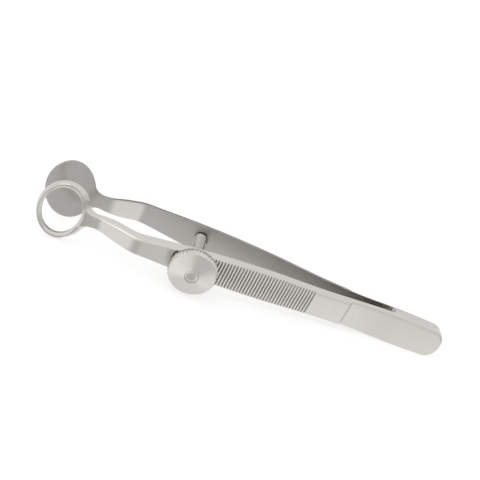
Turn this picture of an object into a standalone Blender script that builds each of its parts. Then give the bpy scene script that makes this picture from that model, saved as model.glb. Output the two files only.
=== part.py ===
"""Chalazion forceps in stainless steel, 94 mm long.

Two spring arms are welded together at the tail. One ends in a solid oval plate, the other in an
open oval ring, and the eyelid goes between them. A threaded post riveted in the plate arm passes
through a slot in the ring arm, and a knurled thumb nut on it draws the arms together.

The arms are drawn in a working frame: x is 0 at the tail and negative towards the tips, y goes
across the gap with the plate arm at positive y, and z is the width of the arms. The empty
forceps_frame then puts the bottom centre of the bounding box at the world origin.
"""

import math

import bmesh
import bpy
import numpy as np
from mathutils import Matrix, Vector
from mathutils.kdtree import KDTree

MM = 0.001

# Whole instrument
OVERALL_LENGTH = 94.5 * MM
RING_REACH = 94.2 * MM  # the ring's tip is a little behind the plate's
SEAT_GAP = 0.3 * MM  # clearance that seated pieces keep to each other

# Plate and ring at the tips; width is along the forceps, height across it
PLATE_WIDTH = 10.7 * MM
PLATE_HEIGHT = 13.8 * MM
PLATE_THICKNESS = 1.3 * MM
RING_THICKNESS = 1.15 * MM
RING_WIDTH = 10.8 * MM
RING_RIM_TIP = 1.2 * MM  # width of the ring's rim at its tip; it is wider at the neck
OPENING_WIDTH = 8.0 * MM
OPENING_HEIGHT = 11.1 * MM
RING_FLARE = 1.11  # the opening at the outer face, as a multiple of its size
RING_FLARE_DEPTH = 0.4 * MM
TIP_FILLET = 2.8 * MM  # between neck and oval

# Side view of an arm: distances from the tail and from the middle plane
CROTCH_FROM_TAIL = 13.2 * MM  # where the weld ends
CROTCH_GAP = 1.86 * MM  # between the arms there
SPRING_FROM_TAIL = 19.6 * MM  # where the lines of weld and grip cross
ARM_SLOPE = 0.0953  # how fast a grip leaves the middle plane
NECK_FROM_TAIL = RING_REACH - 21.0 * MM  # where the arm turns back inwards
TIP_FROM_TAIL = RING_REACH - 14.5 * MM  # where it turns out again, to carry the oval
TIP_HALF_GAP = 3.65 * MM  # from the middle plane to the inner face there
NECK_BEND_RADIUS = 6.0 * MM
TIP_BEND_RADIUS = 8.0 * MM
WELD_THICKNESS = 3.8 * MM  # of both arms together
SPRING_THICKNESS = 1.0 * MM
GRIP_THICKNESS = 1.6 * MM
NECK_THICKNESS = 1.85 * MM
SHOULDER_FROM_TAIL = 23.9 * MM  # foot of the step from spring to grip
SHOULDER_LENGTH = 0.5 * MM
SHOULDER_RADIUS = 0.35 * MM
NECK_TAPER_LENGTH = 7.8 * MM  # from the outer turn to the face of the oval

# Cross grooves of the grips
GROOVE_PITCH = 0.70 * MM
GROOVE_WIDTH = 0.44 * MM
GROOVE_DEPTH = 0.24 * MM
GROOVES_FROM_TAIL = 33.0 * MM
GROOVES_TO_TAIL = RING_REACH - 37.8 * MM

# Plan of an arm at its outer face: half widths at distances from the tail
TAIL_HALF_WIDTH = 3.68 * MM
TAIL_ROUND = 3.2 * MM  # length of the rounded end
TAIL_SQUARENESS = 2.25  # 2 is an ellipse, more is squarer
HALF_WIDTHS = (
    (10.2 * MM, 3.80 * MM),
    (19.2 * MM, 3.32 * MM),
    (29.2 * MM, 3.05 * MM),
    ((GROOVES_FROM_TAIL + GROOVES_TO_TAIL) / 2, 3.30 * MM),
    (RING_REACH - 37.0 * MM, 2.98 * MM),
    (RING_REACH - 31.0 * MM, 2.60 * MM),
    (RING_REACH - 25.0 * MM, 2.08 * MM),
    (RING_REACH - 20.0 * MM, 1.75 * MM),
    (RING_REACH - 16.0 * MM, 1.62 * MM),
)
NECK_HALF_WIDTH = 1.58 * MM
EDGE_RADIUS = 0.35 * MM

# The arms' sides lean, so that an arm is wider at its inner face
SIDE_SLOPE = 0.30
SLOPE_STARTS = (CROTCH_FROM_TAIL - 2.6 * MM, CROTCH_FROM_TAIL + 0.8 * MM)
SLOPE_ENDS = (RING_REACH - 18.0 * MM, RING_REACH - 10.2 * MM)

# Bending line of the ring arm, in its thin spring
FLEX_FROM_TAIL = 18.2 * MM

# Threaded post and its holes
POST_FROM_TAIL = RING_REACH - 34.6 * MM  # at the middle plane
POST_DIAMETER = 2.5 * MM
POST_LEAN = math.radians(2.6)  # towards the tips at the nut, from square across the gap
POST_PROUD = 1.3 * MM  # its domed end, beyond the rim of the nut's face
POST_DOME = 0.6 * MM
POST_HEAD_DIAMETER = 3.6 * MM
POST_HEAD_DEPTH = 0.8 * MM
SLOT_PLAY = 0.9 * MM  # extra length of the ring arm's slot, along the forceps
SLOT_OFFSET = 0.25 * MM  # of the slot's middle from the post, towards the tail

# Thumb nut
NUT_DIAMETER = 10.5 * MM
NUT_RIM = 1.9 * MM
NUT_CROWN = 1.2 * MM  # rise of the face from rim to bore
NUT_CHAMFER = 0.2 * MM
HUB_DIAMETER = 6.0 * MM
HUB_LENGTH = 0.6 * MM
NUT_STAND_OFF = 0.75 * MM  # hub to ring arm, along the post
KNURL_TEETH = 44
KNURL_DEPTH = 0.28 * MM

# Smoothness of the faceted solids
OVAL_SEGMENTS = 56
ROUND_SEGMENTS = 48
STRAP_STEP = 1.0 * MM
SIDE_LEVELS = 5  # bands of a leaning side, from the middle plane outwards
TAIL_STEPS = 9
FILLET_STEPS = 6
BEND_STEPS = 6
SHARP_ANGLE = math.radians(35)

PLATE_TIP = (OVERALL_LENGTH, PLATE_WIDTH)  # reach from the tail, and width
RING_TIP = (RING_REACH, RING_WIDTH)

STEEL = (0.60, 0.585, 0.565, 1.0)


# Side view

def rounded_corner(before, corner, after, radius):
    """Points of the arc that rounds a corner between two straight lines."""
    incoming = (corner - before).normalized()
    outgoing = (after - corner).normalized()
    angle = math.atan2(incoming.cross(outgoing), incoming.dot(outgoing))
    reach = radius * math.tan(abs(angle) / 2)
    start = corner - incoming * reach
    side = Vector((-incoming.y, incoming.x)) * math.copysign(radius, angle)
    centre = start + side
    turns = np.linspace(0, angle, BEND_STEPS + 1)
    return [centre + Matrix.Rotation(turned, 2) @ (start - centre) for turned in turns]


def rounded_line(corners):
    """Line through corners (x, y, radius); a radius of 0 keeps the corner sharp."""
    places = [Vector(corner[:2]) for corner in corners]
    points = []
    for index, corner in enumerate(corners):
        if corner[2] == 0:
            points.append(places[index])
        else:
            points += rounded_corner(*places[index - 1:index + 2], corner[2])
    return points


def grip_line(from_tail):
    """Inner face of a straight grip: distance from the middle plane."""
    return CROTCH_GAP / 2 + (from_tail - SPRING_FROM_TAIL) * ARM_SLOPE


def oval_middle(tip):
    """Distance from the tail to the middle of plate or ring."""
    reach, width = tip
    return reach - width / 2


def tip_slope():
    """Slope of plate and ring that makes them parallel when the ring arm has closed."""
    return (TIP_HALF_GAP - SEAT_GAP / 2) / (TIP_FROM_TAIL - FLEX_FROM_TAIL)


def tip_line(from_tail):
    """Inner face of plate or ring: distance from the middle plane."""
    return TIP_HALF_GAP + (from_tail - TIP_FROM_TAIL) * tip_slope()


def inner_face():
    """Inner line of an arm from crotch to tip, as points (from tail, from middle plane)."""
    half_gap = CROTCH_GAP / 2
    spring_reach = SPRING_FROM_TAIL - CROTCH_FROM_TAIL
    spring_radius = spring_reach / math.tan(math.atan(ARM_SLOPE) / 2)
    return rounded_line([
        (CROTCH_FROM_TAIL - spring_reach, half_gap, 0),
        (SPRING_FROM_TAIL, half_gap, spring_radius),
        (NECK_FROM_TAIL, grip_line(NECK_FROM_TAIL), NECK_BEND_RADIUS),
        (TIP_FROM_TAIL, TIP_HALF_GAP, TIP_BEND_RADIUS),
        (OVERALL_LENGTH, tip_line(OVERALL_LENGTH), 0),
    ])[1:]


def outer_face(tip_thickness):
    """Outer line of an arm from tail to tip, as points (from tail, from middle plane)."""
    spring_radius = (SPRING_FROM_TAIL - CROTCH_FROM_TAIL) / ARM_SLOPE
    shoulder_top = SHOULDER_FROM_TAIL + SHOULDER_LENGTH
    taper_end = NECK_FROM_TAIL + NECK_TAPER_LENGTH
    return rounded_line([
        (0.0, WELD_THICKNESS / 2, 0),
        (SPRING_FROM_TAIL, WELD_THICKNESS / 2, spring_radius),
        (SHOULDER_FROM_TAIL, grip_line(SHOULDER_FROM_TAIL) + SPRING_THICKNESS, SHOULDER_RADIUS),
        (shoulder_top, grip_line(shoulder_top) + GRIP_THICKNESS, SHOULDER_RADIUS),
        (NECK_FROM_TAIL, grip_line(NECK_FROM_TAIL) + NECK_THICKNESS, NECK_BEND_RADIUS),
        (taper_end, tip_line(taper_end) + tip_thickness, TIP_BEND_RADIUS / 2),
        (OVERALL_LENGTH, tip_line(OVERALL_LENGTH) + tip_thickness, 0),
    ])


def height_on(line, from_tail):
    """Distance from the middle plane of a line at a distance from the tail."""
    return float(np.interp(from_tail, [point.x for point in line], [point.y for point in line]))


def stretch(line, low, high):
    """Part of a line between two distances from the tail, with new end points on it."""
    ends = [Vector((place, height_on(line, place))) for place in (low, high)]
    return ends[:1] + [point for point in line if low < point.x < high] + ends[1:]


def on_side(line, side):
    """Line of an arm in the working frame: side 1 is the plate arm, side -1 the ring arm."""
    return [Vector((-point.x, side * point.y)) for point in line]


def plate_arm_side():
    """Side outline of the plate arm, with the weld and the ring arm's end up to its bending line."""
    heel_end = FLEX_FROM_TAIL - SEAT_GAP / 2
    heel_inside = stretch(inner_face(), CROTCH_FROM_TAIL, heel_end)
    heel_outside = stretch(outer_face(RING_THICKNESS), 0.0, heel_end)
    return (on_side(outer_face(PLATE_THICKNESS), 1) + on_side(inner_face(), 1)[::-1]
            + on_side(heel_inside, -1) + on_side(heel_outside, -1)[::-1])


def ring_arm_side():
    """Side outline of the ring arm in front of its bending line."""
    start = FLEX_FROM_TAIL + SEAT_GAP / 2
    inside = stretch(inner_face(), start, OVERALL_LENGTH)
    outside = stretch(outer_face(RING_THICKNESS), start, OVERALL_LENGTH)
    return on_side(inside, -1) + on_side(outside, -1)[::-1]


# Plan view

def strap_half_width(from_tail):
    """Half width of an arm: a smooth curve through the named stations."""
    stations = ((TAIL_ROUND, TAIL_HALF_WIDTH),) + HALF_WIDTHS + ((TIP_FROM_TAIL, NECK_HALF_WIDTH),)
    places, widths = np.array(stations).T
    slopes = np.gradient(widths, places)
    slopes[-1] = 0.0
    last = len(places) - 2
    index = min(max(int(np.searchsorted(places, from_tail)) - 1, 0), last)
    span = places[index + 1] - places[index]
    t = min(max((from_tail - places[index]) / span, 0.0), 1.0)
    rise = t * t * (3 - 2 * t)
    bend_in = span * slopes[index] * t * (1 - t) ** 2
    bend_out = span * slopes[index + 1] * t * t * (1 - t)
    return float(widths[index] * (1 - rise) + widths[index + 1] * rise + bend_in - bend_out)


def oval_point(angle, tip):
    """Point of an oval's outline; angle 0 is towards the tail."""
    along = oval_middle(tip) - tip[1] / 2 * math.cos(angle)
    return Vector((along, PLATE_HEIGHT / 2 * math.sin(angle)))


def fillet_between_neck_and_oval(tip):
    """Centre of the fillet that touches neck and oval, and the angle at which it meets the oval."""
    angles = np.linspace(0, math.pi / 2, 600)
    oval = [oval_point(angle, tip) for angle in angles]
    half_width = NECK_HALF_WIDTH + TIP_FILLET
    low = oval_middle(tip) - tip[1] / 2 - 2 * TIP_FILLET
    high = oval_middle(tip)
    for _ in range(40):
        centre = Vector(((low + high) / 2, half_width))
        distances = [(point - centre).length for point in oval]
        if min(distances) > TIP_FILLET:
            low = centre.x
        else:
            high = centre.x
    return centre, float(angles[int(np.argmin(distances))])


def half_plan(tip):
    """One edge of an arm's plan from the middle of its tail to the middle of its tip."""
    points = []
    for angle in np.linspace(0, math.pi / 2, TAIL_STEPS):
        along = TAIL_ROUND * (1 - math.cos(angle) ** (2 / TAIL_SQUARENESS))
        points.append(Vector((along, TAIL_HALF_WIDTH * math.sin(angle) ** (2 / TAIL_SQUARENESS))))
    fillet, meeting = fillet_between_neck_and_oval(tip)
    steps = round((fillet.x - TAIL_ROUND) / STRAP_STEP)
    for along in np.linspace(TAIL_ROUND, fillet.x, steps + 1)[1:-1]:
        points.append(Vector((along, strap_half_width(along))))
    touch = oval_point(meeting, tip) - fillet
    sweep = math.atan2(touch.x, -touch.y)
    for angle in np.linspace(0, sweep, FILLET_STEPS + 1):
        points.append(fillet + Vector((math.sin(angle), -math.cos(angle))) * TIP_FILLET)
    steps = round((math.pi - meeting) / (2 * math.pi) * OVAL_SEGMENTS)
    for angle in np.linspace(meeting, math.pi, steps + 1)[1:]:
        points.append(oval_point(angle, tip))
    return points


def ease(low, high, value):
    """0 up to low, 1 from high, and a smooth rise between."""
    share = min(max((value - low) / (high - low), 0.0), 1.0)
    return share * share * (3 - 2 * share)


def side_slope(from_tail):
    """Lean of the sides: none at the weld and at plate and ring."""
    return SIDE_SLOPE * ease(*SLOPE_STARTS, from_tail) * (1 - ease(*SLOPE_ENDS, from_tail))


def plan(tip):
    """Closed plan outline of an arm in the working frame, as points (x, z)."""
    edge = half_plan(tip)
    upper = [Vector((-point.x, point.y)) for point in edge]
    lower = [Vector((-point.x, -point.y)) for point in edge[1:-1]]
    return upper + lower[::-1]


# Solids

def clear_scene():
    """Remove every object of the open scene."""
    for obj in list(bpy.data.objects):
        bpy.data.objects.remove(obj, do_unlink=True)


def new_collection(name):
    """New collection in the scene."""
    collection = bpy.data.collections.new(name)
    bpy.context.scene.collection.children.link(collection)
    return collection


def steel(name, roughness):
    """Stainless steel with a colour, a roughness and full metallic value."""
    material = bpy.data.materials.new(name)
    material.use_nodes = True
    shader = material.node_tree.nodes["Principled BSDF"]
    shader.inputs["Base Color"].default_value = STEEL
    shader.inputs["Metallic"].default_value = 1.0
    shader.inputs["Roughness"].default_value = roughness
    return material


def evaluated_mesh(obj):
    """Mesh of an object as its modifiers leave it."""
    bpy.context.view_layer.update()
    graph = bpy.context.evaluated_depsgraph_get()
    return bpy.data.meshes.new_from_object(obj.evaluated_get(graph))


def prism(name, outlines, half_depth, collection, matrix=Matrix()):
    """Flat outlines (x, y) thickened both ways along local z, as one mesh object."""
    curve = bpy.data.curves.new(name, "CURVE")
    curve.dimensions = "2D"
    curve.fill_mode = "BOTH"
    curve.extrude = half_depth
    for outline in outlines:
        spline = curve.splines.new("POLY")
        spline.points.add(len(outline) - 1)
        for point, place in zip(spline.points, outline):
            point.co = (place[0], place[1], 0.0, 1.0)
        spline.use_cyclic_u = True
    flat = bpy.data.objects.new(name, curve)
    collection.objects.link(flat)
    mesh = evaluated_mesh(flat)
    bpy.data.objects.remove(flat, do_unlink=True)
    bpy.data.curves.remove(curve)
    shape = bmesh.new()
    shape.from_mesh(mesh)
    bmesh.ops.remove_doubles(shape, verts=shape.verts, dist=0.001 * MM)
    bmesh.ops.recalc_face_normals(shape, faces=shape.faces)
    shape.to_mesh(mesh)
    shape.free()
    mesh.name = name
    obj = bpy.data.objects.new(name, mesh)
    obj.matrix_world = matrix
    collection.objects.link(obj)
    return obj


def turned(name, profile, segments, collection, matrix=Matrix()):
    """Profile (radius, z) spun about local z; it runs down its outer side."""
    mesh = bpy.data.meshes.new(name)
    edges = [(index, index + 1) for index in range(len(profile) - 1)]
    if profile[0][0] > 0:
        edges.append((len(profile) - 1, 0))
    mesh.from_pydata([(radius, 0.0, z) for radius, z in profile], edges, [])
    obj = bpy.data.objects.new(name, mesh)
    collection.objects.link(obj)
    screw = obj.modifiers.new("spin", "SCREW")
    screw.steps = segments
    screw.render_steps = segments
    screw.use_merge_vertices = True
    screw.merge_threshold = 0.001 * MM
    obj.matrix_world = matrix
    return obj


def boolean(obj, cutter, operation):
    """Join, cut or trim an object with another one."""
    modifier = obj.modifiers.new(cutter.name, "BOOLEAN")
    modifier.operation = operation
    modifier.solver = "EXACT"
    modifier.object = cutter
    cutter.hide_render = True
    cutter.display_type = "WIRE"


def bake(obj):
    """Put an object's evaluated mesh in place of its mesh and modifiers."""
    mesh = evaluated_mesh(obj)
    obj.modifiers.clear()
    obj.data = mesh


def ease_edges(obj, radius):
    """Round the outer edges of an object, and leave its inner corners sharp."""
    shape = bmesh.new()
    shape.from_mesh(obj.data)
    bmesh.ops.remove_doubles(shape, verts=shape.verts, dist=0.005 * MM)
    bmesh.ops.dissolve_limit(shape, angle_limit=math.radians(0.5), verts=shape.verts,
                             edges=shape.edges)
    edges = [edge for edge in shape.edges
             if edge.is_convex and edge.calc_face_angle(0.0) > SHARP_ANGLE]
    bmesh.ops.bevel(shape, geom=edges, offset=radius, offset_type="OFFSET", segments=2,
                    profile=0.5, affect="EDGES", clamp_overlap=False)
    shape.to_mesh(obj.data)
    shape.free()


def finish(obj, material):
    """Give a piece its material and smooth shading."""
    obj.data.materials.clear()
    obj.data.materials.append(material)
    obj.data.shade_smooth()
    obj.data.set_sharp_from_angle(angle=SHARP_ANGLE)


def move_origin(obj, place):
    """Move an unturned object's origin to a place, and leave its shape where it is."""
    obj.data.transform(Matrix.Translation(-place))
    obj.location = place


def facing(slope_angle, place):
    """Matrix at a place whose local z points out of the ring arm's side, turned about z."""
    return Matrix.Translation(place) @ Matrix.Rotation(slope_angle, 4, "Z") @ Matrix.Rotation(
        math.radians(90), 4, "X")


def post_place(distance):
    """Point on the post's axis, by distance from the middle plane towards the nut."""
    out = Vector((-math.sin(POST_LEAN), -math.cos(POST_LEAN), 0.0))
    return Vector((-POST_FROM_TAIL, 0.0, 0.0)) + out * distance


def ring_arm_outside_at_post():
    """Distance along the post from the middle plane to the ring arm's outer face."""
    return height_on(outer_face(RING_THICKNESS), POST_FROM_TAIL) / math.cos(POST_LEAN)


def plate_arm_outside_at_post():
    """Distance along the post from the middle plane to the plate arm's outer face."""
    return height_on(outer_face(PLATE_THICKNESS), POST_FROM_TAIL) / math.cos(POST_LEAN)


def nut_back():
    """Distance along the post from the middle plane to the back of the nut's hub."""
    return ring_arm_outside_at_post() + NUT_STAND_OFF


def arm_blank(name, side_outline, tip, tip_thickness, pieces, cutters):
    """Arm as the meeting of its side outline and its plan, with its edges rounded."""
    arm = prism(name, [side_outline], PLATE_HEIGHT, pieces)
    line = outer_face(tip_thickness)
    half_depth = max(point.y for point in line) + EDGE_RADIUS
    blank = prism(name + "_plan", [plan(tip)], half_depth, cutters,
                  Matrix.Rotation(math.radians(90), 4, "X"))
    lean_sides(blank, plan(tip), line)
    boolean(arm, blank, "INTERSECT")
    bake(arm)
    ease_edges(arm, EDGE_RADIUS)
    return arm


def brow(line, from_tail):
    """Level that the lean is measured from: the outer face, and over the spring the grip's."""
    grip_level = height_on(inner_face(), from_tail) + GRIP_THICKNESS
    return max(height_on(line, from_tail), grip_level)


def lean_sides(blank, outline, line):
    """Widen a plan blank along its outline's normals by slope times depth under the brow."""
    tree = KDTree(len(outline))
    for index, point in enumerate(outline):
        tree.insert((point.x, point.y, 0.0), index)
    tree.balance()
    shape = bmesh.new()
    shape.from_mesh(blank.data)
    half_depth = max(vert.co.z for vert in shape.verts)
    for level in np.linspace(-half_depth, half_depth, 2 * SIDE_LEVELS + 1)[1:-1]:
        bmesh.ops.bisect_plane(shape, geom=shape.verts[:] + shape.edges[:] + shape.faces[:],
                               plane_co=(0.0, 0.0, level), plane_no=(0.0, 0.0, 1.0))
    for vert in shape.verts:
        index = tree.find((vert.co.x, vert.co.y, 0.0))[1]
        ahead = outline[(index + 1) % len(outline)] - outline[index - 1]
        normal = Vector((-ahead.y, ahead.x)).normalized()
        depth = brow(line, -vert.co.x) - abs(vert.co.z)
        vert.co.xy += normal * depth * side_slope(-vert.co.x)
    shape.to_mesh(blank.data)
    shape.free()


def groove_cutter(name, side, tip_thickness, cutters):
    """Row of vee grooves across the outer face of one grip."""
    line = outer_face(tip_thickness)
    count = int((GROOVES_TO_TAIL - GROOVES_FROM_TAIL) / GROOVE_PITCH) + 1
    lift = GROOVE_DEPTH / 2
    outlines = []
    for number in range(count):
        along = GROOVES_FROM_TAIL + number * GROOVE_PITCH
        surface = height_on(line, along)
        rise = height_on(line, along + GROOVE_WIDTH) - height_on(line, along - GROOVE_WIDTH)
        lean = rise / (2 * GROOVE_WIDTH)
        half = GROOVE_WIDTH / 2 * (1 + lift / GROOVE_DEPTH)
        vee = [Vector((along - half, surface + lift - half * lean)),
               Vector((along, surface - GROOVE_DEPTH)),
               Vector((along + half, surface + lift + half * lean))]
        outlines.append(on_side(vee, side))
    return prism(name, outlines, PLATE_HEIGHT / 2, cutters)


def make_plate_arm(pieces, cutters):
    """Plate arm with its oval plate, grooved grip, post hole and the welded tail."""
    arm = arm_blank("plate_arm", plate_arm_side(), PLATE_TIP, PLATE_THICKNESS, pieces, cutters)
    boolean(arm, groove_cutter("plate_grip_grooves", 1, PLATE_THICKNESS, cutters), "DIFFERENCE")
    radius = POST_DIAMETER / 2 + SEAT_GAP
    head = POST_HEAD_DIAMETER / 2 + SEAT_GAP
    outside = -plate_arm_outside_at_post()
    sink = POST_HEAD_DEPTH
    profile = [(0.0, GRIP_THICKNESS), (radius, GRIP_THICKNESS), (radius, outside + sink),
               (head, outside), (head, outside - GRIP_THICKNESS), (0.0, outside - GRIP_THICKNESS)]
    boolean(arm, turned("plate_arm_post_hole", profile, ROUND_SEGMENTS, cutters,
                        facing(-POST_LEAN, post_place(0.0))), "DIFFERENCE")
    finish(arm, steel("plate_arm_steel", 0.34))
    return arm


def slot_outline():
    """Round-ended outline of the ring arm's slot, long way along the forceps."""
    radius = POST_DIAMETER / 2 + SEAT_GAP
    angles = np.linspace(-math.pi / 2, math.pi / 2, ROUND_SEGMENTS // 4 + 1)
    half = [(SLOT_PLAY / 2 + radius * math.cos(a), radius * math.sin(a)) for a in angles]
    return half + [(-x, -y) for x, y in half]


def ring_opening_cutter(cutters):
    """Oval cutter for the ring, flared at the outer face."""
    slope = math.atan(tip_slope())
    middle = RING_REACH - RING_RIM_TIP - OPENING_WIDTH / 2
    place = Vector((-middle, -tip_line(middle), 0.0))
    flare_start = RING_THICKNESS - RING_FLARE_DEPTH
    flare_rise = (RING_FLARE - 1) / RING_FLARE_DEPTH
    above = RING_THICKNESS + RING_FLARE_DEPTH
    wide = 1 + flare_rise * (above - flare_start)
    profile = [(0.0, above), (wide, above), (1.0, flare_start), (1.0, -RING_THICKNESS),
               (0.0, -RING_THICKNESS)]
    size = Matrix.Diagonal((OPENING_WIDTH / 2, OPENING_HEIGHT / 2, 1.0, 1.0))
    return turned("ring_opening", profile, OVAL_SEGMENTS, cutters, facing(slope, place) @ size)


def make_ring_arm(pieces, cutters):
    """Ring arm with its oval ring, grooved grip and the slot for the post."""
    arm = arm_blank("ring_arm", ring_arm_side(), RING_TIP, RING_THICKNESS, pieces, cutters)
    boolean(arm, groove_cutter("ring_grip_grooves", -1, RING_THICKNESS, cutters), "DIFFERENCE")
    place = post_place(ring_arm_outside_at_post() - GRIP_THICKNESS / 2)
    place.x += SLOT_OFFSET
    boolean(arm, prism("ring_arm_slot", [slot_outline()], 2 * GRIP_THICKNESS, cutters,
                       facing(math.atan(ARM_SLOPE), place)), "DIFFERENCE")
    boolean(arm, ring_opening_cutter(cutters), "DIFFERENCE")
    move_origin(arm, flex_place())
    finish(arm, steel("ring_arm_steel", 0.30))
    return arm


def flex_place():
    """Middle of the ring arm's spring at its bending line."""
    inside = height_on(inner_face(), FLEX_FROM_TAIL)
    return Vector((-FLEX_FROM_TAIL, -(inside + SPRING_THICKNESS / 2), 0.0))


def make_threaded_post(pieces):
    """Post with a staked head sunk in the plate arm and a domed end in front of the nut."""
    radius = POST_DIAMETER / 2
    head = POST_HEAD_DIAMETER / 2
    low = -plate_arm_outside_at_post()
    top = nut_back() + HUB_LENGTH + NUT_RIM + POST_PROUD
    profile = []
    for angle in np.linspace(0, math.pi / 2, 5):
        profile.append((radius * math.sin(angle), top - POST_DOME * (1 - math.cos(angle))))
    profile += [(radius, low + POST_HEAD_DEPTH), (head, low), (0.0, low)]
    post = turned("threaded_post", profile, ROUND_SEGMENTS, pieces,
                  facing(-POST_LEAN, post_place(0.0)))
    finish(post, steel("post_steel", 0.35))
    return post


def knurl_cutter(matrix, cutters):
    """Ring of vee notches that leaves straight knurling round the nut's rim."""
    radius = NUT_DIAMETER / 2
    half_pitch = math.pi / KNURL_TEETH
    outlines = []
    for tooth in range(KNURL_TEETH):
        middle = 2 * math.pi * tooth / KNURL_TEETH
        corners = [(radius - KNURL_DEPTH, middle),
                   (radius + KNURL_DEPTH, middle + 1.5 * half_pitch),
                   (radius + KNURL_DEPTH, middle - 1.5 * half_pitch)]
        outlines.append([(r * math.cos(a), r * math.sin(a)) for r, a in corners])
    return prism("nut_knurl", outlines, 2 * NUT_RIM, cutters, matrix)


def make_thumb_nut(pieces, cutters):
    """Disc nut with a knurled rim, a slightly crowned face and a small hub at its back."""
    rim = NUT_DIAMETER / 2
    hub = HUB_DIAMETER / 2
    bore = POST_DIAMETER / 2 + SEAT_GAP
    face = HUB_LENGTH + NUT_RIM
    profile = [(bore, face + NUT_CROWN), (rim - NUT_CHAMFER, face), (rim, face - NUT_CHAMFER),
               (rim, HUB_LENGTH + NUT_CHAMFER), (rim - NUT_CHAMFER, HUB_LENGTH),
               (hub, HUB_LENGTH), (hub, 0.0), (bore, 0.0)]
    matrix = facing(-POST_LEAN, post_place(nut_back()))
    nut = turned("thumb_nut", profile, 2 * KNURL_TEETH, pieces, matrix)
    boolean(nut, knurl_cutter(matrix, cutters), "DIFFERENCE")
    finish(nut, steel("nut_steel", 0.28))
    return nut


def frame_place():
    """Where the working frame's origin lies, so that the box's bottom centre is at 0, 0, 0."""
    front = (nut_back() + HUB_LENGTH + NUT_RIM + POST_PROUD) * math.cos(POST_LEAN)
    back = max(point.y for point in outer_face(PLATE_THICKNESS))
    return Vector((OVERALL_LENGTH / 2, (front - back) / 2, PLATE_HEIGHT / 2))


def main():
    clear_scene()
    pieces = new_collection("chalazion_forceps")
    cutters = new_collection("cutters")
    frame = bpy.data.objects.new("forceps_frame", None)
    pieces.objects.link(frame)
    make_plate_arm(pieces, cutters)
    make_ring_arm(pieces, cutters)
    make_threaded_post(pieces)
    make_thumb_nut(pieces, cutters)
    for obj in bpy.data.objects:
        if obj is not frame:
            obj.parent = frame
    frame.location = frame_place()


main()
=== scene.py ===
"""Chalazion forceps: detailed surfaces, steel finishes, floor, light and camera.

The arms are drawn as in the CAD: by distance from the tail, distance from the middle plane between
them, and height across their width. Lengths are in metres.
"""

import math

import bmesh
import bpy
import numpy as np
from bpy.props import FloatProperty, IntProperty, PointerProperty, StringProperty
from bpy.types import Operator, Panel, PropertyGroup
from mathutils import Matrix, Vector


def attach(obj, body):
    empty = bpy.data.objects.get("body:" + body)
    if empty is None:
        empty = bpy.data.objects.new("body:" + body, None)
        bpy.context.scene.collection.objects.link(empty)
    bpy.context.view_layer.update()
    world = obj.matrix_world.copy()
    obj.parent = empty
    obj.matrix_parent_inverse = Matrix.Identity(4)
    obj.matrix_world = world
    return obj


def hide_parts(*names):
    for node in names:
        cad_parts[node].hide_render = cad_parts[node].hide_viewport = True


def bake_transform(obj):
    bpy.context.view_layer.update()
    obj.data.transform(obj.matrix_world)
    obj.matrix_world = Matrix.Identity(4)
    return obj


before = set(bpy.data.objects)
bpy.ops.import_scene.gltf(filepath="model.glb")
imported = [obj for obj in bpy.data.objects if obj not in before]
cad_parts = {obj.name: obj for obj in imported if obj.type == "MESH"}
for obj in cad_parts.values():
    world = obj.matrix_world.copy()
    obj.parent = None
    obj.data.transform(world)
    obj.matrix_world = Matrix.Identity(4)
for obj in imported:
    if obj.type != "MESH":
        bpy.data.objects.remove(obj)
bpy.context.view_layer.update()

bl_info = {
    "name": "Chalazion forceps",
    "version": (1, 0, 0),
    "blender": (4, 5, 0),
    "location": "View3D > Sidebar > Forceps",
    "description": "Builds a chalazion forceps with its steel finishes and a studio stage",
    "category": "Add Mesh",
}

MM = 0.001
MERGE = 0.0002 * MM  # points closer than this are one
SKIN = 0.01 * MM  # the fine surfaces stay this far inside the CAD's outline
SHARP_ANGLE = 40  # degrees; a sharper edge isn't smoothed in the shading
THREAD_SHARP_ANGLE = 60  # the thread's flanks meet at less

# Where the arms' own axes lie in the frame
LENGTH = 94.5 * MM
REACH = 94.2 * MM  # from the tail to the ring's tip
MIDDLE_Y = 1.64256 * MM
MIDDLE_Z = 6.90 * MM


def length(name, description, millimetres):
    """Length property with its default in millimetres."""
    return FloatProperty(name=name, description=description, default=millimetres * MM,
                         unit="LENGTH", precision=5)


def colour(name, description, default):
    """Colour property whose default is an sRGB hex value."""
    return StringProperty(name=name, description=description, default=default)


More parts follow.
